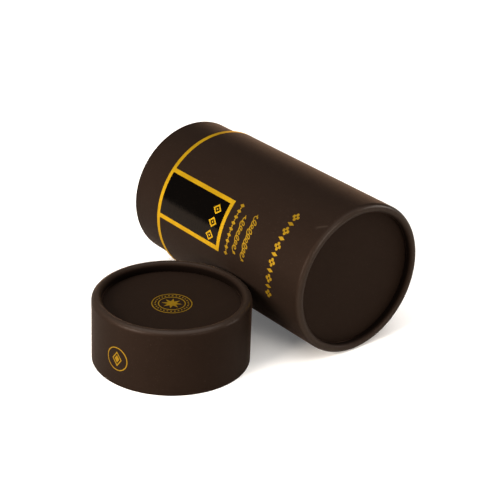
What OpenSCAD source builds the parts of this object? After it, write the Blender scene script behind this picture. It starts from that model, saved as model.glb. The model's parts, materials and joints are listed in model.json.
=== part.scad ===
// Cylindrical gift tube box of wrapped greyboard, in millimetres.
// The body lies on its side with its mouth towards -X, and the lid stands beside it, mouth down.

/* [Body] */
// Outer radius of the body tube, over its paper
body_r = 35.5; // [32:0.5:40]
// Length of the body tube, from its rolled base rim to the shoulder
body_h = 104; // [90:1:130]
// Thickness of the body tube's greyboard
body_board_t = 1.8; // [1.4:0.05:1.9]
// Thickness of the printed paper round the body and the lid
wrap_t = 0.2; // [0.15:0.01:0.25]

/* [Neck] */
// How far the inner tube stands out of the body as the lid's neck
neck_h = 20; // [14:1:22]
// Thickness of the inner tube's greyboard
neck_board_t = 0.85; // [0.8:0.05:1.4]
// Thickness of the printed card sleeve round the open stretch of the neck
neck_sleeve_t = 0.4; // [0.3:0.05:0.6]
// Thickness of the lining paper inside the neck and on the end discs
lining_t = 0.15; // [0.1:0.01:0.2]

/* [Rolled rims] */
// Outer radius of the rolled rim at the base, over the paper
curl_r = 2.15; // [2:0.05:2.5]
// Depth of the base disc below its rolled rim
recess_h = 4; // [3.6:0.1:4]
// Outer radius of the rolled rim at the lid's top, over the paper
lid_curl_r = 2.45; // [2.3:0.05:2.8]
// Depth of the lid's disc below its rolled rim
lid_recess_h = 4.6; // [4.2:0.1:4.6]
// Thickness of the greyboard end discs
disc_t = 2; // [1.5:0.1:2.5]

/* [Lid] */
// Height of the lid
lid_h = 30.5; // [29:0.5:34]
// Thickness of the lid's greyboard
lid_board_t = 0.5; // [0.4:0.05:1.1]
// Thickness of the card liner inside the lid's wall, which holds the disc up in the roll
lid_liner_t = 0.4; // [0.3:0.05:0.6]
// Clearance between the neck's sleeve and the lid's liner, all round
lid_clearance = 0.2; // [0.15:0.01:0.25]

/* [Foil] */
// Depth of the foil pressed into the body's paper
foil_t = 0.05; // [0.03:0.01:0.08]
// Width of the gold lines
line_w = 2.1; // [1.5:0.1:3]
// Strip of bare paper between the shoulder and the gold edge ring
ring_inset = 0.3; // [0.2:0.1:1]
// Width of the gold frame round the gloss panel, measured round the body
frame_w = 25; // [18:1:32]
// Distance from the shoulder to the far edge of the gold frame
frame_len = 48; // [36:1:60]
// Angle from the top of the lying body to the middle of the frame, towards the lid
frame_turn = 67.9; // [50:0.1:85]

/* [Lid seal] */
// Outer radius of the gold seal on the lid's disc
seal_r = 9; // [8:0.1:14]
// Width of the lines of the seal's two rings
seal_line_w = 0.45; // [0.3:0.05:0.6]
// Number of dots between the seal's two rings
seal_dots = 28; // [16:1:36]
// Radius of one dot
seal_dot_r = 0.38; // [0.3:0.01:0.5]
// Radius of the circle that the dots lie on
seal_dot_ring_r = 7.3; // [6.8:0.1:7.4]
// Outer radius of the seal's inner ring
seal_inner_r = 6.1; // [5.5:0.1:6.2]
// Radius of the star's long points
star_r = 4.5; // [3:0.1:4.8]
// Radius of the star's notches
star_notch_r = 2; // [1:0.1:2.5]
// Number of points on the star
star_points = 8; // [5:1:12]

/* [Lid emblem] */
// Outer radius of the gold emblem on the lid's side
emblem_r = 5.6; // [5:0.1:9]
// Width of the emblem's ring
emblem_line_w = 0.45; // [0.35:0.05:1]
// Height of the emblem's middle above the lid's mouth
emblem_z = 13; // [11:0.5:16]
// Direction that the emblem faces, turned from +X
emblem_turn = -77; // [-120:1:-50]
// Half height of the open lozenge in the emblem
emblem_mark_h = 3.6; // [2.8:0.1:4]
// Half width of the open lozenge in the emblem
emblem_mark_w = 2.6; // [2:0.1:3]
// Width of the open lozenge's line, measured level
emblem_mark_line_w = 0.6; // [0.4:0.05:0.8]
// Half width of the solid lozenge in the open one
emblem_core_w = 1.3; // [0.6:0.1:1.4]

/* [Placing] */
// Free gap between the lying body and the standing lid
stand_gap = 0.3; // [0.3:0.1:5]
// Distance along the body from its base to the middle of the lid
lid_along = 43.6; // [36:0.2:60]

/* [Hidden] */
$fn = 96;

board_black = [0.16, 0.14, 0.13];
paper_black = [0.19, 0.15, 0.13];
lining_black = [0.12, 0.11, 0.11];
foil_gold = [0.85, 0.65, 0.13];
varnish_black = [0.03, 0.03, 0.03];

// Radii of the body's layers, from the outside in; the inner tube is glued in the body tube
body_board_r = body_r - wrap_t;
neck_board_r = body_board_r - body_board_t;
neck_r = neck_board_r + neck_sleeve_t;
neck_lining_r = neck_board_r - neck_board_t;
neck_bore_r = neck_lining_r - lining_t;

// Heights in the body's own frame, which has its base rim at 0 and its mouth up
base_disc_z = recess_h + wrap_t;
base_inner_z = base_disc_z + disc_t;
base_floor_z = base_inner_z + lining_t;
neck_top_z = body_h + neck_h;

// Radii of the lid's layers, from the inside out
lid_bore_r = neck_r + lid_clearance;
lid_liner_r = lid_bore_r + lid_liner_t;
lid_board_r = lid_liner_r + lid_board_t;
lid_r = lid_board_r + wrap_t;

// Depths in the lid's own frame, which has its rolled rim at 0
lid_disc_depth = lid_recess_h + wrap_t;
lid_inner_depth = lid_disc_depth + disc_t;
lid_floor_depth = lid_inner_depth + lining_t;
lid_paper_z = lid_h - lid_recess_h;

// The lid's rounded rim comes nearest to the lying body, which is widest at its axis
rim_below_axis = max(0, body_r + lid_curl_r - lid_h);
axes_gap = lid_r - lid_curl_r + sqrt(pow(body_r + lid_curl_r + stand_gap, 2) - pow(rim_below_axis, 2));

// The body lies with its axis at height body_r, and the part's box is centred on the origin
body_y = (lid_r - body_r + axes_gap) / 2;
lid_y = body_y - axes_gap;
base_x = neck_top_z / 2;
lid_x = base_x - lid_along;

// Edge ring and frame, in the body's own frame
ring_top_z = body_h - ring_inset;
ring_low_z = ring_top_z - line_w;
frame_low_z = body_h - frame_len;
frame_span = frame_w / body_r * 180 / PI;
line_span = line_w / body_r * 180 / PI;
groove_r = body_r - foil_t;
// Cutting tools run this far past the faces they cut
past = 1;

// Puts a shape from the body's own frame in its place, lying down
module lay_body() translate([base_x, body_y, body_r]) rotate([0, -90, 0]) children();

// Puts a shape from the lid's own frame, which has its mouth at 0, in its place
module stand_lid() translate([lid_x, lid_y, 0]) children();

// Turns a shape that has its rolled rim at 0 over, so that the rim is the lid's top
module rim_up() translate([0, 0, lid_h]) mirror([0, 0, 1]) children();

// Half section of a tube layer
module layer(outer_r, inner_r, low_z, top_z)
    translate([inner_r, low_z]) square([outer_r - inner_r, top_z - low_z]);

// Tube of one layer
module tube(outer_r, inner_r, low_z, top_z)
    rotate_extrude() layer(outer_r, inner_r, low_z, top_z);

// Half section of a sheet of the wall that is rolled inwards at its rim and meets the end disc. The
// rim's roll has the radius rim_r over the paper, and over_t is the thickness of what covers the sheet.
module rolled_sheet(outer_r, sheet_t, length, rim_r, rim_depth, over_t) {
    roll_r = rim_r - over_t;
    centre_r = outer_r - roll_r;
    layer(outer_r, outer_r - sheet_t, rim_r, length);
    intersection() {
        translate([centre_r, rim_r])
            difference() {
                circle(r = roll_r);
                circle(r = roll_r - sheet_t);
            }
        union() {
            square([outer_r, rim_r]);
            square([centre_r, rim_depth]);
        }
    }
}

// Band of foil round the body, pressed in flush with the paper, its middle at frame_turn
module foil_band(low_z, top_z, span, inner_r, outer_r)
    rotate([0, 0, -frame_turn - span / 2])
        rotate_extrude(angle = span) layer(outer_r, inner_r, low_z, top_z);

// Full gold ring just under the shoulder
module ring_band(inner_r, outer_r) tube(outer_r, inner_r, ring_low_z, ring_top_z);

module body_board()
    color(board_black) lay_body()
        rotate_extrude()
            rolled_sheet(body_board_r, body_board_t, body_h, curl_r, recess_h, wrap_t);

// Printed paper with the grooves that the foil lies in; the frame's groove runs on into the ring's
module body_wrap()
    color(paper_black) lay_body()
        difference() {
            rotate_extrude() rolled_sheet(body_r, wrap_t, body_h, curl_r, recess_h, 0);
            ring_band(groove_r, body_r + past);
            foil_band(frame_low_z, ring_low_z + line_w / 2, frame_span, groove_r, body_r + past);
        }

module base_disc()
    color(board_black) lay_body()
        translate([0, 0, base_disc_z]) cylinder(r = neck_board_r, h = disc_t);

module base_disc_paper()
    color(paper_black) lay_body()
        translate([0, 0, recess_h]) cylinder(r = neck_board_r, h = wrap_t);

module base_lining()
    color(lining_black) lay_body()
        translate([0, 0, base_inner_z]) cylinder(r = neck_lining_r, h = lining_t);

module neck_board()
    color(board_black) lay_body()
        tube(neck_board_r, neck_lining_r, base_inner_z, neck_top_z - neck_sleeve_t);

// Printed card sleeve round the open stretch of the inner tube, turned in over its lip
module neck_wrap()
    color(paper_black) lay_body()
        rotate_extrude() {
            layer(neck_r, neck_board_r, body_h, neck_top_z);
            layer(neck_r, neck_lining_r, neck_top_z - neck_sleeve_t, neck_top_z);
        }

module neck_lining()
    color(lining_black) lay_body()
        tube(neck_lining_r, neck_bore_r, base_floor_z, neck_top_z);

module edge_ring()
    color(foil_gold) lay_body() ring_band(groove_r, body_r);

// Gold frame with two legs that run up to the edge ring, and a bar across their far ends
module frame_foil()
    color(foil_gold) lay_body()
        difference() {
            foil_band(frame_low_z, ring_low_z, frame_span, groove_r, body_r);
            foil_band(frame_low_z + line_w, ring_low_z + past, frame_span - 2 * line_span,
                      groove_r - past, body_r + past);
        }

module gloss_panel()
    color(varnish_black) lay_body()
        foil_band(frame_low_z + line_w, ring_low_z, frame_span - 2 * line_span, groove_r, body_r);

module lid_board()
    color(board_black) stand_lid() rim_up()
        rotate_extrude()
            rolled_sheet(lid_board_r, lid_board_t, lid_h, lid_curl_r, lid_recess_h, wrap_t);

module lid_wrap()
    color(paper_black) stand_lid() rim_up()
        rotate_extrude() rolled_sheet(lid_r, wrap_t, lid_h, lid_curl_r, lid_recess_h, 0);

module lid_disc()
    color(board_black) stand_lid() rim_up()
        translate([0, 0, lid_disc_depth]) cylinder(r = lid_liner_r, h = disc_t);

module lid_disc_paper()
    color(paper_black) stand_lid() rim_up()
        translate([0, 0, lid_recess_h]) cylinder(r = lid_liner_r, h = wrap_t);

module lid_disc_lining()
    color(lining_black) stand_lid() rim_up()
        translate([0, 0, lid_inner_depth]) cylinder(r = lid_liner_r, h = lining_t);

// Card liner that the disc rests on, and that slides on the neck
module lid_lining()
    color(lining_black) stand_lid() rim_up()
        tube(lid_liner_r, lid_bore_r, lid_floor_depth, lid_h);

// Flat ring of foil
module flat_ring(outer_r, inner_r)
    difference() {
        circle(r = outer_r);
        circle(r = inner_r);
    }

// Star whose long points alternate with notches
module star(points, long_r, notch_r)
    polygon([for (i = [0 : 2 * points - 1])
        let (r = i % 2 == 0 ? long_r : notch_r, a = i * 180 / points)
        [r * cos(a), r * sin(a)]]);

// Round seal on the lid's disc: two rings, a circle of dots between them and a star
module lid_seal()
    color(foil_gold) stand_lid()
        translate([0, 0, lid_paper_z]) linear_extrude(foil_t) {
            flat_ring(seal_r, seal_r - seal_line_w);
            flat_ring(seal_inner_r, seal_inner_r - seal_line_w);
            for (i = [0 : seal_dots - 1])
                rotate(i * 360 / seal_dots) translate([seal_dot_ring_r, 0]) circle(r = seal_dot_r);
            star(star_points, star_r, star_notch_r);
        }

// Flat lozenge with the same slope of its sides at every width
module lozenge(half_w) {
    half_h = half_w * emblem_mark_h / emblem_mark_w;
    polygon([[half_w, 0], [0, half_h], [-half_w, 0], [0, -half_h]]);
}

// Emblem on the lid's side: a ring round an open and a solid lozenge, laid on the round wall
module lid_emblem()
    color(foil_gold) stand_lid()
        intersection() {
            tube(lid_r + foil_t, lid_r, 0, lid_h);
            rotate([0, 0, emblem_turn]) translate([0, 0, emblem_z]) rotate([90, 0, 90])
                linear_extrude(lid_r + past) {
                    flat_ring(emblem_r, emblem_r - emblem_line_w);
                    difference() {
                        lozenge(emblem_mark_w);
                        lozenge(emblem_mark_w - emblem_mark_line_w);
                    }
                    lozenge(emblem_core_w);
                }
        }

body_board();
body_wrap();
base_disc();
base_disc_paper();
base_lining();
neck_board();
neck_wrap();
neck_lining();
edge_ring();
frame_foil();
gloss_panel();
lid_board();
lid_wrap();
lid_disc();
lid_disc_paper();
lid_disc_lining();
lid_lining();
lid_seal();
lid_emblem();
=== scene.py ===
import json
import math

import bpy
from mathutils import Matrix, Vector


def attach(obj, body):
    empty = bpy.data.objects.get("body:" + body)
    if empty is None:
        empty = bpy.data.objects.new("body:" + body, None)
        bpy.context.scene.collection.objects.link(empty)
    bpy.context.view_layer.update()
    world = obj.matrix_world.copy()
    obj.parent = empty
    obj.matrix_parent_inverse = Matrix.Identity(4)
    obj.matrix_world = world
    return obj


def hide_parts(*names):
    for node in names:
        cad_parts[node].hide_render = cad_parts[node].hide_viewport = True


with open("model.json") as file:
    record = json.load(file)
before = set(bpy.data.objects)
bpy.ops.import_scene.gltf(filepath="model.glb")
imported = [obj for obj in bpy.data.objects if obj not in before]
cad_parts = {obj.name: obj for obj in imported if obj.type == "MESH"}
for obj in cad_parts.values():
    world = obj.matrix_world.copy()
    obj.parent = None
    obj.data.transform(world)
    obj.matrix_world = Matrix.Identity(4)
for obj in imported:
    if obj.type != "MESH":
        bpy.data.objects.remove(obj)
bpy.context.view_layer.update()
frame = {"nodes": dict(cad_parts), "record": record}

# The greyboard tubes and the end discs
# Each tube is wound from plies of dark greyboard glued one over the other. Its end is cut square on
# the winder, so the cut edge shows the plies as fine rings. The discs are punched from sheet.


class Wire:
    """A socket that takes part in sums as a number does, by adding Math nodes."""

    def __init__(self, nodes, socket):
        self.nodes = nodes
        self.socket = socket

    def of(self, name):
        """Another output of the same node."""
        return Wire(self.nodes, self.socket.node.outputs[name])

    def math(self, operation, *others):
        values = dict(enumerate((self, *others)))
        return self.nodes.add("ShaderNodeMath", {"operation": operation}, values)

    def turned(self, operation, other):
        return self.nodes.add("ShaderNodeMath", {"operation": operation}, {0: other, 1: self})

    def __add__(self, other):
        return self.math("ADD", other)

    def __sub__(self, other):
        return self.math("SUBTRACT", other)

    def __rsub__(self, other):
        return self.turned("SUBTRACT", other)

    def __mul__(self, other):
        return self.math("MULTIPLY", other)

    def __truediv__(self, other):
        return self.math("DIVIDE", other)

    def __rtruediv__(self, other):
        return self.turned("DIVIDE", other)

    def __pow__(self, other):
        return self.math("POWER", other)

    def __gt__(self, other):
        return self.math("GREATER_THAN", other)

    def __lt__(self, other):
        return self.math("LESS_THAN", other)

    __radd__ = __add__
    __rmul__ = __mul__


class Nodes:
    """Adds nodes to one tree."""

    def __init__(self, tree):
        self.tree = tree

    def add(self, kind, settings=None, inputs=None, output=0):
        node = self.tree.nodes.new(kind)
        for name, value in (settings or {}).items():
            setattr(node, name, value)
        for name, value in (inputs or {}).items():
            if isinstance(value, Wire):
                self.tree.links.new(value.socket, node.inputs[name])
            else:
                node.inputs[name].default_value = value
        return Wire(self, node.outputs[output]) if node.outputs else None

    def split(self, vector):
        """The three parts of a vector."""
        x = self.add("ShaderNodeSeparateXYZ", {}, {0: vector})
        return x, x.of("Y"), x.of("Z")

    def join(self, x, y, z):
        return self.add("ShaderNodeCombineXYZ", {}, {0: x, 1: y, 2: z})

    def scaled(self, vector, factor):
        """A vector times three numbers."""
        return self.add("ShaderNodeVectorMath", {"operation": "MULTIPLY"}, {0: vector, 1: factor})

    def between(self, low, high, value):
        """0 below low, 1 above high, and smooth from one to the other."""
        return self.add("ShaderNodeMapRange", {"interpolation_type": "SMOOTHSTEP"},
                        {"Value": value, "From Min": low, "From Max": high})

    def blend(self, share, first, second):
        """A colour between two colours."""
        return self.add("ShaderNodeMix", {"data_type": "RGBA"}, {0: share, 6: first, 7: second},
                        output=2)


class Finish(Nodes):
    """A material on its way: its nodes, its Principled shader and the surface's own coordinates."""

    def __init__(self, name, **constants):
        self.material = bpy.data.materials.new(name)
        self.material.use_nodes = True
        super().__init__(self.material.node_tree)
        self.shader = self.tree.nodes["Principled BSDF"]
        for socket, value in constants.items():
            self.shader.inputs[socket.replace("_", " ")].default_value = value
        self.place = self.add("ShaderNodeTexCoord", output=3)

    def noise(self, scale, detail=2.0, roughness=0.5, stretch=None):
        place = self.scaled(self.place, stretch) if stretch else self.place
        return self.add("ShaderNodeTexNoise", {},
                        {"Vector": place, "Scale": scale, "Detail": detail, "Roughness": roughness})

    def set(self, socket, wire):
        self.tree.links.new(wire.socket, self.shader.inputs[socket])

    def bump(self, height, depth):
        """Raises the surface by height times depth, in metres."""
        self.set("Normal", self.add("ShaderNodeBump", {},
                                    {"Strength": 1.0, "Distance": depth, "Height": height}))


def dress(finish, *names):
    """Gives a finish to pieces that keep the frame's own shape."""
    for name in names:
        frame["nodes"][name].material_slots[0].material = finish.material


mounts = {mount["name"]: mount["pos_m"] for mount in frame["record"]["mounts"]}
_, AXIS_Y, AXIS_Z = mounts["neck_pin"]
LID_X, LID_Y, _ = mounts["lid_bore"]
BETWEEN_Y = -0.0005
PLY = 0.00045
PLY_RELIEF = 0.00006
PLY_EDGE = (0.012, 0.010, 0.009, 1)
PLY_FACE = (0.030, 0.025, 0.022, 1)
BOARD_FLECK = (0.07, 0.062, 0.055, 1)

board_finish = Finish("Wound greyboard", Specular_IOR_Level=0.15)
x, y, z = board_finish.split(board_finish.place)
from_axis = ((y - AXIS_Y) ** 2 + (z - AXIS_Z) ** 2) ** 0.5
from_lid_axis = ((x - LID_X) ** 2 + (y - LID_Y) ** 2) ** 0.5
on_lid = y < BETWEEN_Y
radius = from_axis * (1 - on_lid) + from_lid_axis * on_lid
ply = (radius * (2 * math.pi / PLY)).math("SINE") * 0.5 + 0.5
fibre = board_finish.noise(1500, detail=4, roughness=0.7)
fleck = board_finish.between(0.6, 0.68, board_finish.noise(2600, detail=1))
board_colour = board_finish.blend(ply * 0.5 + fibre * 0.5, PLY_EDGE, PLY_FACE)
board_finish.set("Base Color", board_finish.blend(fleck * 0.5, board_colour, BOARD_FLECK))
board_finish.set("Roughness", 0.82 + fibre * 0.15)
board_finish.bump(ply * 0.4 + fibre * 0.6, PLY_RELIEF)
dress(board_finish, "body_board", "neck_board", "base_disc", "lid_board", "lid_disc")

# The black lining paper
# Plain uncoated paper, wound on the mandrel as the inner tube's first ply, so a fine seam runs
# round the inside as a spiral. Discs of the same paper are glued inside the two ends.

SEAM_PITCH = 0.088
SEAM_SHARE = 0.0035
FUZZ_RELIEF = 0.00004
LINING_DARK = (0.0065, 0.0058, 0.0056, 1)
LINING_PALE = (0.017, 0.0155, 0.015, 1)
LINING_GAP = (0.002, 0.002, 0.002, 1)

lining_finish = Finish("Black lining paper", Specular_IOR_Level=0.12, Sheen_Weight=0.08)
x, y, z = lining_finish.split(lining_finish.place)
turn = (z - AXIS_Z).math("ARCTAN2", y - AXIS_Y) / (2 * math.pi)
seam_phase = (x / SEAM_PITCH + turn).math("FRACT")
seam_gap = 1 - lining_finish.between(0.0, SEAM_SHARE, (seam_phase - 0.5).math("ABSOLUTE"))
fuzz = lining_finish.noise(2200, detail=4, roughness=0.75)
laid = lining_finish.noise(900, detail=2, stretch=(1, 6, 6))
lining_colour = lining_finish.blend(fuzz, LINING_DARK, LINING_PALE)
lining_finish.set("Base Color", lining_finish.blend(seam_gap, lining_colour, LINING_GAP))
lining_finish.set("Roughness", 0.72 + laid * 0.2)
lining_finish.bump(fuzz * 0.6 + laid * 0.4 - seam_gap * 1.5, FUZZ_RELIEF)
dress(lining_finish, "neck_lining", "base_lining", "lid_lining", "lid_disc_lining")

# The printed paper round the body
# Brown-black art paper with a soft-touch film, glued round the outer tube with one overlapped seam
# along its length. The machine rolls its end inwards with the board, which gathers it in fine pleats.

PRINT_DEEP = (0.0068, 0.0042, 0.0030, 1)
PRINT_WARM = (0.0094, 0.0059, 0.0043, 1)
PRINT_MOTTLE = (0.0118, 0.0075, 0.0056, 1)
# Rims and crease: paler, partly wear and partly a painted highlight
PRINT_WEAR_HIGHLIGHT = (0.0165, 0.0112, 0.0084, 1)
PRINT_SPECK = (0.065, 0.050, 0.040, 1)
# Inside the roll: near black, painted shade
PRINT_TUCK_SHADE = (0.0010, 0.0007, 0.0006, 1)
TOOTH_RELIEF = 0.00004


def soft_touch(name):
    """Brown-black paper under soft-touch film: cloudy print, a fine tooth, and a few pale specks. On the
    rolled rims and the crease, one attribute makes the film smoother and its colour paler: partly wear
    from rubbing, partly a painted highlight. Inside the roll, a second attribute paints the colour near
    black: painted shade in the tuck."""
    finish = Finish(name, Specular_IOR_Level=0.06, Specular_Tint=(1.0, 0.58, 0.40, 1),
                    Sheen_Weight=0.10, Sheen_Roughness=0.20, Sheen_Tint=(1.0, 0.60, 0.42, 1),
                    Coat_Roughness=0.26, Coat_IOR=1.3)
    cloud = finish.noise(60, detail=3, roughness=0.55)
    mottle = finish.noise(420, detail=4, roughness=0.62)
    grain = finish.noise(2600, detail=3, roughness=0.7)
    wear_and_highlight = finish.add("ShaderNodeAttribute", {"attribute_name": "wear_and_highlight"}).of("Fac")
    wear_and_highlight = wear_and_highlight * (0.6 + mottle * 0.8)
    tuck_shade = finish.add("ShaderNodeAttribute", {"attribute_name": "tuck_shade"}).of("Fac")
    colour = finish.blend(cloud, PRINT_DEEP, PRINT_WARM)
    colour = finish.blend(mottle * 0.5, colour, PRINT_MOTTLE)
    # Rims and crease paler: partly wear, partly a painted highlight
    colour = finish.blend(wear_and_highlight, colour, PRINT_WEAR_HIGHLIGHT)
    speck = finish.between(0.70, 0.76, finish.noise(1900, detail=1))
    colour = finish.blend(speck * 0.25, colour, PRINT_SPECK)
    # Inside the roll the colour is painted near black: painted shade
    finish.set("Base Color", finish.blend(tuck_shade, colour, PRINT_TUCK_SHADE))
    finish.set("Roughness", 0.48 + grain * 0.14 + (mottle - 0.5) * 0.10 - wear_and_highlight * 0.08 + tuck_shade * 0.4)
    finish.set("Coat Weight", wear_and_highlight * 0.45)
    finish.bump(grain * 0.55 + mottle * 0.45, TOOTH_RELIEF)
    return finish


def new_tree(name, **sizes):
    """A Geometry Nodes tree with a named input for each size; returns its nodes and its inputs."""
    tree = bpy.data.node_groups.new(name, "GeometryNodeTree")
    sockets = {int: "NodeSocketInt", float: "NodeSocketFloat"}
    tree.interface.new_socket(name="Outline", in_out="INPUT", socket_type="NodeSocketGeometry")
    for size, value in sizes.items():
        item = tree.interface.new_socket(name=size.replace("_", " "), in_out="INPUT",
                                         socket_type=sockets[type(value)])
        item.default_value = value
    tree.interface.new_socket(name="Finish", in_out="INPUT", socket_type="NodeSocketMaterial")
    tree.interface.new_socket(name="Piece", in_out="OUTPUT", socket_type="NodeSocketGeometry")
    nodes = Nodes(tree)
    first = nodes.add("NodeGroupInput")
    return nodes, {item.name: first.of(item.name) for item in tree.interface.items_tree
                   if item.in_out == "INPUT"}


def end_tree(nodes, inputs, geometry):
    """Realizes what the tree made, gives it its finish and returns the tree."""
    whole = nodes.add("GeometryNodeRealizeInstances", {}, {0: geometry})
    dressed = nodes.add("GeometryNodeSetMaterial", {}, {"Geometry": whole, "Material": inputs["Finish"]})
    nodes.add("NodeGroupOutput", {}, {0: dressed})
    return nodes.tree


SAME_POINT = 1e-6
SHARP_EDGE = math.radians(38)


def grow(name, tree, finish, points, edges, place=None, **sizes):
    """Runs a tree on an outline of points and edges, and leaves a plain mesh, laid in its place."""
    outline = bpy.data.meshes.new(name + "_outline")
    outline.from_pydata(points, edges, [])
    piece = bpy.data.objects.new(name, outline)
    bpy.context.scene.collection.objects.link(piece)
    modifier = piece.modifiers.new("Shape", "NODES")
    modifier.node_group = tree
    values = {size.replace("_", " "): value for size, value in sizes.items()}
    values["Finish"] = finish.material
    for item in tree.interface.items_tree:
        if item.in_out == "INPUT" and item.name in values:
            modifier[item.identifier] = values[item.name]
    graph = bpy.context.evaluated_depsgraph_get()
    mesh = bpy.data.meshes.new_from_object(piece.evaluated_get(graph), depsgraph=graph)
    piece.modifiers.remove(modifier)
    piece.data = mesh
    bpy.data.meshes.remove(outline)
    mesh.name = name
    if place:
        mesh.transform(place)
    mesh.shade_smooth()
    mesh.set_sharp_from_angle(angle=SHARP_EDGE)
    return piece


# How wide the lap's upper edge is, how soon the ring's die flattens it, how deep the paper ripples,
# and how a crease near the rim leans, reaches up and down, and opens
LAP_EDGE = 0.00025
PRESS_FADE = 0.0015
RIPPLE = 0.00003
DENT_SLOPE = -0.68
DENT_REACH = 0.0028
DENT_WIDTH = 0.00045


def wall_tree():
    """Spins a closed section of radius and height into a wall, with its seam, pleats and dent."""
    nodes, size = new_tree(
        "Paper wall", Around=1080, Roll_radius=0.0, Roll_height=0.0, Roll=0.00215, Radius=0.0355,
        Seam_angle=0.0, Seam_step=0.0001, Seam_width=0.008, Pressed_height=1.0,
        Pleats=50.0, Pleat_depth=0.00004, Dent_angle=0.0, Dent_height=0.0, Dent_depth=0.0)
    count = nodes.add("GeometryNodeAttributeDomainSize", {"component": "MESH"}, {0: size["Outline"]})
    grid = nodes.add("GeometryNodeMeshGrid", {}, {
        "Size X": 1.0, "Size Y": 1.0, "Vertices X": size["Around"] + 1, "Vertices Y": count})
    spot = nodes.add("GeometryNodeInputPosition")
    u, v, _ = nodes.split(spot)
    corner = ((v + 0.5) * (count - 1)).math("ROUND")
    section = nodes.add("GeometryNodeSampleIndex", {"data_type": "FLOAT_VECTOR"},
                        {"Geometry": size["Outline"], "Value": spot, "Index": corner})
    r, _, h = nodes.split(section)
    angle = (u + 0.5) * (2 * math.pi)
    cosine, sine = angle.math("COSINE"), angle.math("SINE")

    # Which way the section faces: straight out on the wall, and away from the core on the roll.
    # Inward is 0 on the wall and 1 where the roll comes nearest to the axis.
    dr = r - size["Roll radius"]
    dh = (h - size["Roll height"]) * ((h < size["Roll height"]) + (dr < 0)).math("MINIMUM", 1)
    length = (dr * dr + dh * dh + 1e-12) ** 0.5
    inward = ((size["Radius"] - r) / (2 * size["Roll"])).math("MINIMUM", 1).math("MAXIMUM", 0)

    # Seam: the upper edge steps down to the paper under it, and the lower edge shows through softly.
    # The roll squeezes it flat, and so does the hot die where the gold ring crosses it.
    past_seam = ((angle - size["Seam angle"]) / (2 * math.pi)).math("FRACT") * (2 * math.pi)
    past_seam = past_seam * size["Radius"]
    lap = nodes.between(0, LAP_EDGE, past_seam) * (1 - nodes.between(
        size["Seam width"] * 0.8, size["Seam width"] * 1.3, past_seam))
    lap = lap * (1 - nodes.between(0, 0.25, inward)) * (1 - nodes.between(
        size["Pressed height"], size["Pressed height"] + PRESS_FADE, h))

    # Pleats gather in the roll, and the whole sheet ripples a little
    ring = nodes.join(cosine, sine, inward * 0.03)
    pleat = nodes.add("ShaderNodeTexNoise", {}, {
        "Vector": ring, "Scale": size["Pleats"], "Detail": 1.0})
    fold = (1 - (pleat - 0.5).math("ABSOLUTE") * 5).math("MAXIMUM", 0)
    ripple = nodes.add("ShaderNodeTexNoise", {}, {
        "Vector": nodes.join(cosine * 1.6, sine * 1.6, h * 30), "Scale": 2.0, "Detail": 1.0})

    # A short slanted crease, where the rim once struck something
    off_dent = (angle - size["Dent angle"]) * size["Radius"] - (h - size["Dent height"]) * DENT_SLOPE
    along_dent = (h - size["Dent height"]) / DENT_REACH
    groove = (off_dent / DENT_WIDTH) ** 2
    dent = 1 / (1 + groove * groove) * (1 - nodes.between(0.5, 1.0, along_dent.math("ABSOLUTE")))
    push = (lap * size["Seam step"] - inward ** 1.5 * fold * size["Pleat depth"]
            - ripple * RIPPLE - dent * size["Dent depth"])
    r = r + push * dr / length
    h = h + push * dh / length

    # The top of the roll and the crease, worn smoother and painted paler as a highlight, and the tuck
    # down to the disc, painted near black as shade
    wear_and_highlight = nodes.between(0.0, 0.20, inward) * (1 - nodes.between(0.55, 0.88, inward))
    # The crease takes the same paler colour: a painted highlight
    wear_and_highlight = wear_and_highlight.math("MAXIMUM", dent * 1.7 * (size["Dent depth"] > 0))
    # Deep in the roll and under it, the colour is painted near black: painted shade
    below = (dr < 0) * (h > size["Roll height"])
    tuck_shade = nodes.between(0.82, 0.99, inward).math("MAXIMUM", below)
    marked = grid
    for name, value in (("wear_and_highlight", wear_and_highlight), ("tuck_shade", tuck_shade)):
        marked = nodes.add("GeometryNodeStoreNamedAttribute", {"data_type": "FLOAT", "domain": "POINT"},
                           {"Geometry": marked, "Name": name, "Value": value})
    moved = nodes.add("GeometryNodeSetPosition", {}, {
        "Geometry": marked, "Position": nodes.join(r * cosine, r * sine, h)})
    closed = nodes.add("GeometryNodeMergeByDistance", {}, {"Geometry": moved, "Distance": SAME_POINT})
    return end_tree(nodes, size, closed)


paper_wall = wall_tree()

# The paper's face lies a hair below the tube's outline, so that foil and varnish stand proud of it
FOIL = 0.00002
WRAP = 0.0002
BODY_R = 0.0355
BODY_H = 0.104
BODY_ROLL = 0.00215
BODY_RECESS = 0.004
BODY_ROWS = 18
RING_EDGE = 0.0042
NECK_H = 0.020
BASE_X = mounts["neck_pin"][0] + NECK_H / 2 + BODY_H
SHOULDER_X = BASE_X - BODY_H
LAY_BODY = Matrix(((0, 0, -1, BASE_X), (0, 1, 0, AXIS_Y), (1, 0, 0, AXIS_Z), (0, 0, 0, 1)))

# Where the section's points lie: the bevel of the cut end, drops below it, even rows, close rows near
# the roll, steps round the roll, and the straight foot that leans down to the disc
CUT_BEVEL = ((0.00005, 0.0), (0.00001, 0.00002))
CUT_DROPS = (0.00006, 0.0001, 0.0004, 0.0027, 0.0031, 0.0035, 0.0039)
CUT_ZONE = 0.0043
CLOSE_ZONE = 0.0072
CLOSE_ROWS = 12
ROLL_STEPS = 30
FOOT_LEAN = math.radians(25)
FOOT_STEPS = 4


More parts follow.
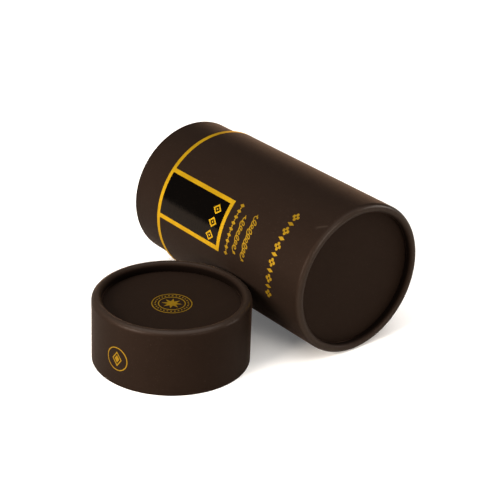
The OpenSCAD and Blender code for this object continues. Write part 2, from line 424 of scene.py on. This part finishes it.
def rolled_section(radius, length, roll_radius, recess, rows):
    """The paper's closed section, worked out down the outside, round the roll, straight on to the disc
    and back inside, then turned about so that its faces point outwards."""
    outer = radius - FOIL
    roll = roll_radius - FOIL
    under = roll - WRAP + FOIL
    core_r = radius - roll_radius
    even_h, close_h = length - CUT_ZONE, roll_radius + CLOSE_ZONE
    heights = [length - drop for drop in CUT_DROPS]
    heights += [even_h - (even_h - close_h) * i / rows for i in range(rows)]
    heights += [close_h - (close_h - roll_radius) * i / CLOSE_ROWS for i in range(CLOSE_ROWS)]
    turns = [(math.pi + FOOT_LEAN) * i / ROLL_STEPS for i in range(ROLL_STEPS + 1)]
    outside = [(outer - inset, length - drop) for inset, drop in CUT_BEVEL]
    outside += [(outer, height) for height in heights]
    outside += [(core_r + roll * math.cos(a), roll_radius - roll * math.sin(a)) for a in turns]
    foot_r, foot_h = outside[-1]
    drops = [(recess - foot_h) * i / FOOT_STEPS for i in range(1, FOOT_STEPS + 1)]
    outside += [(foot_r + drop * math.tan(FOOT_LEAN), foot_h + drop) for drop in drops]
    inside = [(outside[-1][0] + WRAP / math.cos(FOOT_LEAN), recess)]
    inside += [(core_r + under * math.cos(a), roll_radius - under * math.sin(a))
               for a in reversed(turns[::3])]
    inside += [(radius - WRAP, length * 0.5), (radius - WRAP, length), outside[0]]
    return [(r, 0, h) for r, h in reversed(outside + inside)]


def chain(points):
    """The edges that join points in a row."""
    return [(i, i + 1) for i in range(len(points) - 1)]


body_paper_finish = soft_touch("Soft-touch paper")
section = rolled_section(BODY_R, BODY_H, BODY_ROLL, BODY_RECESS, BODY_ROWS)
body_paper = grow(
    "body_paper", paper_wall, body_paper_finish, section, chain(section), place=LAY_BODY,
    Roll_radius=BODY_R - BODY_ROLL, Roll_height=BODY_ROLL, Roll=BODY_ROLL, Radius=BODY_R,
    Seam_angle=math.radians(112), Pressed_height=BODY_H - RING_EDGE,
    Dent_angle=math.radians(360 - 34.3), Dent_height=0.0046, Dent_depth=0.00016)
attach(body_paper, "body")
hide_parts("body_wrap")
dress(body_paper_finish, "base_disc_paper")

# The neck's sleeve
# A strip of printed card glued round the inner tube where it stands out of the body. It is lapped once
# along its length, and turned in over the lip in a small round edge.

NECK_R = 0.0339
NECK_BOARD_R = 0.0335
NECK_LINING_R = 0.03265
SLEEVE = 0.0004
SLEEVE_STRAIGHT = 0.0194
SLEEVE_ROWS = 10
LIP_R = 0.0003
LIP_STEPS = 6

lip = BODY_H + NECK_H
face = NECK_R - FOIL
quarter = [math.pi / 2 * i / LIP_STEPS for i in range(LIP_STEPS + 1)]
section = [(face, 0, BODY_H + SLEEVE_STRAIGHT * i / SLEEVE_ROWS) for i in range(SLEEVE_ROWS + 1)]
section += [(face - LIP_R + LIP_R * math.cos(a), 0, lip - LIP_R + LIP_R * math.sin(a))
            for a in quarter]
section += [(NECK_LINING_R + LIP_R * (1 - math.sin(a)), 0, lip - LIP_R + LIP_R * math.cos(a))
            for a in quarter]
section += [(NECK_LINING_R, 0, lip - SLEEVE), (NECK_BOARD_R, 0, lip - SLEEVE),
            (NECK_BOARD_R, 0, BODY_H)]
section.append(section[0])
neck_sleeve = grow(
    "neck_sleeve", paper_wall, body_paper_finish, section, chain(section), place=LAY_BODY,
    Radius=NECK_R, Seam_angle=math.radians(74), Seam_width=0.006, Pleat_depth=0.0)
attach(neck_sleeve, "body")
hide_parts("neck_wrap")

# The gold foil: edge ring, frame, seal and emblem
# Metal foil stamped hot through a heated die, so it takes the paper's grain, and its gloss varies
# softly where the pressure did. The seal, the emblem and the small marks take a darker copy of the
# same gold: painted shade.

DULL_GOLD = (0.40, 0.23, 0.005, 1)
BRIGHT_GOLD = (0.54, 0.325, 0.010, 1)
# The same gold painted darker, for the seal, the emblem and the small marks: painted shade
DULL_SHADED_GOLD = (0.23, 0.13, 0.006, 1)
BRIGHT_SHADED_GOLD = (0.36, 0.215, 0.012, 1)
GOLD_PIT = (0.25, 0.12, 0.01, 1)
FOIL_RELIEF = 0.00003


def foil(name, dull, bright):
    """Foil whose colour goes from dull to bright with the die's pressure, and is pitted by the grain."""
    finish = Finish(name, Metallic=0.7, Specular_Tint=(1.0, 0.78, 0.25, 1))
    pressure = finish.noise(130, detail=2)
    tooth = finish.noise(2400, detail=3, roughness=0.7)
    pit = finish.between(0.66, 0.72, finish.noise(3300, detail=1))
    gold = finish.blend(pressure, dull, bright)
    finish.set("Base Color", finish.blend(pit * 0.5, gold, GOLD_PIT))
    finish.set("Roughness", 0.34 + pressure * 0.10 + tooth * 0.10)
    finish.bump(tooth, FOIL_RELIEF)
    return finish


foil_finish = foil("Gold foil", DULL_GOLD, BRIGHT_GOLD)
# The darker copy of the gold: painted shade
shaded_foil_finish = foil("Fine gold foil", DULL_SHADED_GOLD, BRIGHT_SHADED_GOLD)
dress(foil_finish, "edge_ring", "frame_foil")
dress(shaded_foil_finish, "lid_seal", "lid_emblem")

# The gloss panel
# Clear varnish screened over a black print inside the frame. It levels nearly flat, with a faint
# orange peel and the drag marks of the squeegee, which ran round the tube.

VARNISH_RELIEF = 0.00014

varnish_finish = Finish("Spot varnish", Base_Color=(0.0010, 0.0008, 0.0007, 1),
                        Specular_IOR_Level=0.13, Specular_Tint=(1.0, 0.78, 0.62, 1))
drag = varnish_finish.noise(420, detail=4, roughness=0.6, stretch=(1, 0.16, 0.16))
swell = varnish_finish.noise(90, detail=1)
peel = varnish_finish.noise(900, detail=1)
varnish_finish.set("Roughness", 0.07 + drag * 0.10)
varnish_finish.bump(drag * 0.35 + swell * 0.5 + peel * 0.15, VARNISH_RELIEF)
dress(varnish_finish, "gloss_panel")

# The ornaments stamped in the same foil
# Small generic motifs: three lozenges in the panel, a row of lozenges and beads under the frame, two
# pen scrolls, and a wide row of quatrefoils and slim lozenges.


def wrapped(nodes, size, geometry):
    """Lays a flat pattern round the body: x runs round it and down, y towards the shoulder."""
    x, y, z = nodes.split(nodes.add("GeometryNodeInputPosition"))
    angle = size["Turn"] - x / BODY_R
    r = z + BODY_R
    return nodes.add("GeometryNodeSetPosition", {}, {"Geometry": geometry, "Position": nodes.join(
        size["Along"] + SHOULDER_X - y,
        r * angle.math("COSINE") + AXIS_Y,
        r * angle.math("SINE") + AXIS_Z)})


def marks_tree():
    """Fills an outline, repeats it along a row, gives it the foil's thickness and lays it on."""
    nodes, size = new_tree("Row of stamped marks", Count=1, Pitch=0.001, Turn=0.0, Along=0.0,
                           Foil=0.00004)
    curve = nodes.add("GeometryNodeMeshToCurve", {}, {"Mesh": size["Outline"]})
    flat = nodes.add("GeometryNodeFillCurve", {}, {"Curve": curve})
    fine = nodes.add("GeometryNodeSubdivideMesh", {}, {"Mesh": flat, "Level": 2})
    start = nodes.join((size["Count"] - 1) * size["Pitch"] * -0.5, 0, 0)
    row = nodes.add("GeometryNodeMeshLine", {}, {
        "Count": size["Count"], "Start Location": start, "Offset": nodes.join(size["Pitch"], 0, 0)})
    marks = nodes.add("GeometryNodeInstanceOnPoints", {}, {"Points": row, "Instance": fine})
    marks = nodes.add("GeometryNodeRealizeInstances", {}, {0: marks})
    low = nodes.add("GeometryNodeSetPosition", {}, {
        "Geometry": marks, "Offset": nodes.join(0, 0, size["Foil"] * -1)})
    top = nodes.add("GeometryNodeExtrudeMesh", {}, {
        "Mesh": low, "Offset": nodes.join(0, 0, 1), "Offset Scale": size["Foil"], "Individual": False})
    under = nodes.add("GeometryNodeFlipFaces", {}, {"Mesh": low})
    both = nodes.add("GeometryNodeJoinGeometry")
    for part in (top, under):
        nodes.tree.links.new(part.socket, both.socket.node.inputs[0])
    closed = nodes.add("GeometryNodeMergeByDistance", {}, {"Geometry": both, "Distance": SAME_POINT})
    return end_tree(nodes, size, wrapped(nodes, size, closed))


LOOP_POINTS = 40


def scroll_tree():
    """A pen line of running loops, thick where it falls and thin where it climbs, laid on."""
    nodes, size = new_tree("Pen scroll", Length=0.02, Loops=7, Reach=0.0011, Loop_width=0.0012,
                           Slant=0.5, Stroke=0.0005, Turn=0.0, Along=0.0, Foil=0.00006)
    line = nodes.add("GeometryNodeMeshLine", {}, {
        "Count": size["Loops"] * LOOP_POINTS + 1, "Offset": nodes.join(0, 0, 0)})
    share = nodes.add("GeometryNodeInputIndex") / (size["Loops"] * LOOP_POINTS)
    phase = share * size["Loops"] * (2 * math.pi)
    swell = nodes.between(0, 0.12, share) * (1 - nodes.between(0.86, 1.0, share)) * 0.75 + 0.25
    lift = phase.math("COSINE") * swell * size["Reach"] * (1 + 0.35 * (phase * 0.37).math("SINE"))
    run = (share - 0.5) * size["Length"] + phase.math("SINE") * swell * size["Loop width"]
    run = run + lift * size["Slant"]
    pen = nodes.add("GeometryNodeSetPosition", {}, {
        "Geometry": line, "Position": nodes.join(run, lift, size["Foil"] * -0.5)})
    curve = nodes.add("GeometryNodeMeshToCurve", {}, {"Mesh": pen})
    press = 0.45 + 0.55 * (phase.math("SINE") * -0.5 + 0.5)
    curve = nodes.add("GeometryNodeSetCurveRadius", {}, {"Curve": curve, "Radius": press})
    curve = nodes.add("GeometryNodeSetCurveNormal", {"mode": "Z_UP"}, {"Curve": curve})
    nib = nodes.add("GeometryNodeCurvePrimitiveQuadrilateral", {}, {
        "Width": size["Stroke"], "Height": size["Foil"]})
    ribbon = nodes.add("GeometryNodeCurveToMesh", {}, {
        "Curve": curve, "Profile Curve": nib, "Fill Caps": True})
    return end_tree(nodes, size, wrapped(nodes, size, ribbon))


def loops(*outlines):
    """Points and edges of closed outlines, given in millimetres."""
    points, edges = [], []
    for outline in outlines:
        first = len(points)
        points += [(x * 0.001, y * 0.001, 0) for x, y in outline]
        edges += [(first + i, first + (i + 1) % len(outline)) for i in range(len(outline))]
    return points, edges


def lozenge(half_width, half_height):
    return [(half_width, 0), (0, half_height), (-half_width, 0), (0, -half_height)]


def petals(count, reach, notch, steps=8):
    """A flower outline whose round petals meet in notches."""
    turns = [2 * math.pi * i / (count * steps) for i in range(count * steps)]
    sizes = [notch + (reach - notch) * abs(math.cos(count * a / 2)) ** 0.7 for a in turns]
    return [(r * math.cos(a), r * math.sin(a)) for a, r in zip(turns, sizes)]


# Ornaments take the darker gold, painted shade, unless told otherwise
def stamp(name, tree, outline, finish=shaded_foil_finish, **sizes):
    """Grows an ornament on the body."""
    piece = grow(name, tree, finish, *outline, **sizes)
    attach(piece, "body")


stamped = marks_tree()
written = scroll_tree()
pen_start = ([(0, 0, 0)], [])
caption_row = {"Pitch": 0.0029, "Turn": math.radians(157.1), "Along": 0.0531}
wide_row = {"Pitch": 0.00756, "Turn": math.radians(157.5), "Along": 0.0839}

stamp("panel_lozenges", stamped, loops(lozenge(2.5, 2.8), lozenge(1.5, 1.7), lozenge(0.55, 0.62)),
      foil_finish, Count=3, Pitch=0.0063, Turn=math.radians(159.6), Along=0.0402)
stamp("caption_lozenges", stamped, loops(lozenge(1.0, 1.4)), Count=9, **caption_row)
stamp("caption_beads", stamped, loops(petals(4, 0.42, 0.34)), Count=8, **caption_row)
stamp("first_scroll", written, pen_start, Length=0.0185, Loops=8, Turn=math.radians(158.4),
      Along=0.0585)
stamp("second_scroll", written, pen_start, Length=0.0225, Loops=10, Turn=math.radians(157.2),
      Along=0.0647, Reach=0.0013)
stamp("wide_row_quatrefoils", stamped, loops(petals(4, 2.05, 0.9), petals(4, 0.55, 0.45)),
      Count=6, **wide_row)
stamp("wide_row_lozenges", stamped, loops(lozenge(0.95, 2.1)), Count=5, **wide_row)

# The lid
# A short tube under the same paper, rolled in with its board over the lid's disc. The lid stands on
# its cut mouth, so its section is turned over and set on the floor.

LID_R = 0.0352
LID_H = 0.0305
LID_ROLL = 0.00245
LID_RECESS = 0.0046
LID_ROWS = 6
STAND_LID = Matrix(((1, 0, 0, LID_X), (0, -1, 0, LID_Y), (0, 0, -1, LID_H), (0, 0, 0, 1)))

section = rolled_section(LID_R, LID_H, LID_ROLL, LID_RECESS, LID_ROWS)
lid_paper = grow(
    "lid_paper", paper_wall, body_paper_finish, section, chain(section), place=STAND_LID,
    Roll_radius=LID_R - LID_ROLL, Roll_height=LID_ROLL, Roll=LID_ROLL, Radius=LID_R,
    Seam_angle=math.radians(230))
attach(lid_paper, "lid")
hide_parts("lid_wrap")
dress(body_paper_finish, "lid_disc_paper")

# Floor, light and camera
# A pale sheet under the box, soft light from a broad sky above and from four softboxes round it, and
# the photo's camera. The sheet throws back less light than it shows, so that undersides stay dark.

FLOOR_LIT = (0.52, 0.47, 0.42, 1)
FLOOR_SEEN = (0.94, 0.94, 0.935, 1)
NEAR_WHITE = (1.0, 0.98, 0.96)

bpy.ops.mesh.primitive_plane_add(size=6)
floor = bpy.context.active_object
floor.name = "floor"
floor_finish = Finish("Pale floor", Roughness=0.9, Specular_IOR_Level=0.1, Emission_Strength=1.0)
seen = floor_finish.add("ShaderNodeLightPath")
floor_finish.set("Base Color", floor_finish.blend(seen, FLOOR_LIT, FLOOR_SEEN))
floor_finish.set("Emission Color", seen * 0.12)
floor.data.materials.append(floor_finish.material)

# The room is dim, and shows pale only where the camera looks past the floor
world = bpy.data.worlds.new("Studio")
world.use_nodes = True
room = Nodes(world.node_tree)
seen = room.add("ShaderNodeLightPath")
glow = world.node_tree.nodes["Background"].inputs
glow["Color"].default_value = (*NEAR_WHITE, 1)
world.node_tree.links.new((0.08 + seen * 0.90).socket, glow["Strength"])
bpy.context.scene.world = world
bpy.context.scene.view_settings.view_transform = "Standard"


def hang(name, lamp, place, aim):
    """Puts a lamp in its place, turned towards what it lights."""
    holder = bpy.data.objects.new(name, lamp)
    holder.location = place
    holder.rotation_euler = (Vector(aim) - Vector(place)).to_track_quat("-Z", "Y").to_euler()
    bpy.context.scene.collection.objects.link(holder)


def softbox(name, place, width, height, power, colour):
    """A rectangle of soft light, in metres and watts, turned towards the middle of the object."""
    lamp = bpy.data.lights.new(name, "AREA")
    lamp.shape = "RECTANGLE"
    lamp.size = width
    lamp.size_y = height
    lamp.energy = power
    lamp.color = colour
    hang(name, lamp, place, (0, 0, 0.03))


skylight = bpy.data.lights.new("skylight", "SUN")
skylight.energy = 2.7
skylight.angle = math.radians(75)
skylight.color = NEAR_WHITE
hang("skylight", skylight, (0, 0, 0), (-0.10, 0.05, -1))
softbox("front_softbox", (0.0, -1.0, 0.38), 0.6, 0.6, 28, (1.0, 0.90, 0.80))
softbox("back_softbox", (-0.9, 0.85, 0.12), 1.2, 0.2, 3.2, (1.0, 0.60, 0.37))
softbox("fill_softbox", (0.62, 1.1, 0.42), 0.7, 0.5, 9, (1.0, 0.92, 0.84))
softbox("right_softbox", (1.25, 0.1, 0.35), 0.6, 0.5, 7.5, (1.0, 0.88, 0.77))

AZIMUTH = math.radians(50.474)
ELEVATION = math.radians(25.811)
ROLL = math.radians(2.319)
DISTANCE = 0.72289
AIM = Vector((0.00223, 0.02112, 0.030))

camera = bpy.data.objects.new("camera", bpy.data.cameras.new("camera"))
forward = Vector((-math.sin(AZIMUTH) * math.cos(ELEVATION), math.cos(AZIMUTH) * math.cos(ELEVATION),
                  -math.sin(ELEVATION)))
camera.data.lens = 112.036
camera.data.sensor_width = 36
camera.data.clip_start = 0.01
camera.data.clip_end = 20
camera.matrix_world = (Matrix.Translation(AIM - forward * DISTANCE)
                       @ forward.to_track_quat("-Z", "Y").to_matrix().to_4x4()
                       @ Matrix.Rotation(ROLL, 4, "Z"))
bpy.context.scene.collection.objects.link(camera)
bpy.context.scene.camera = camera
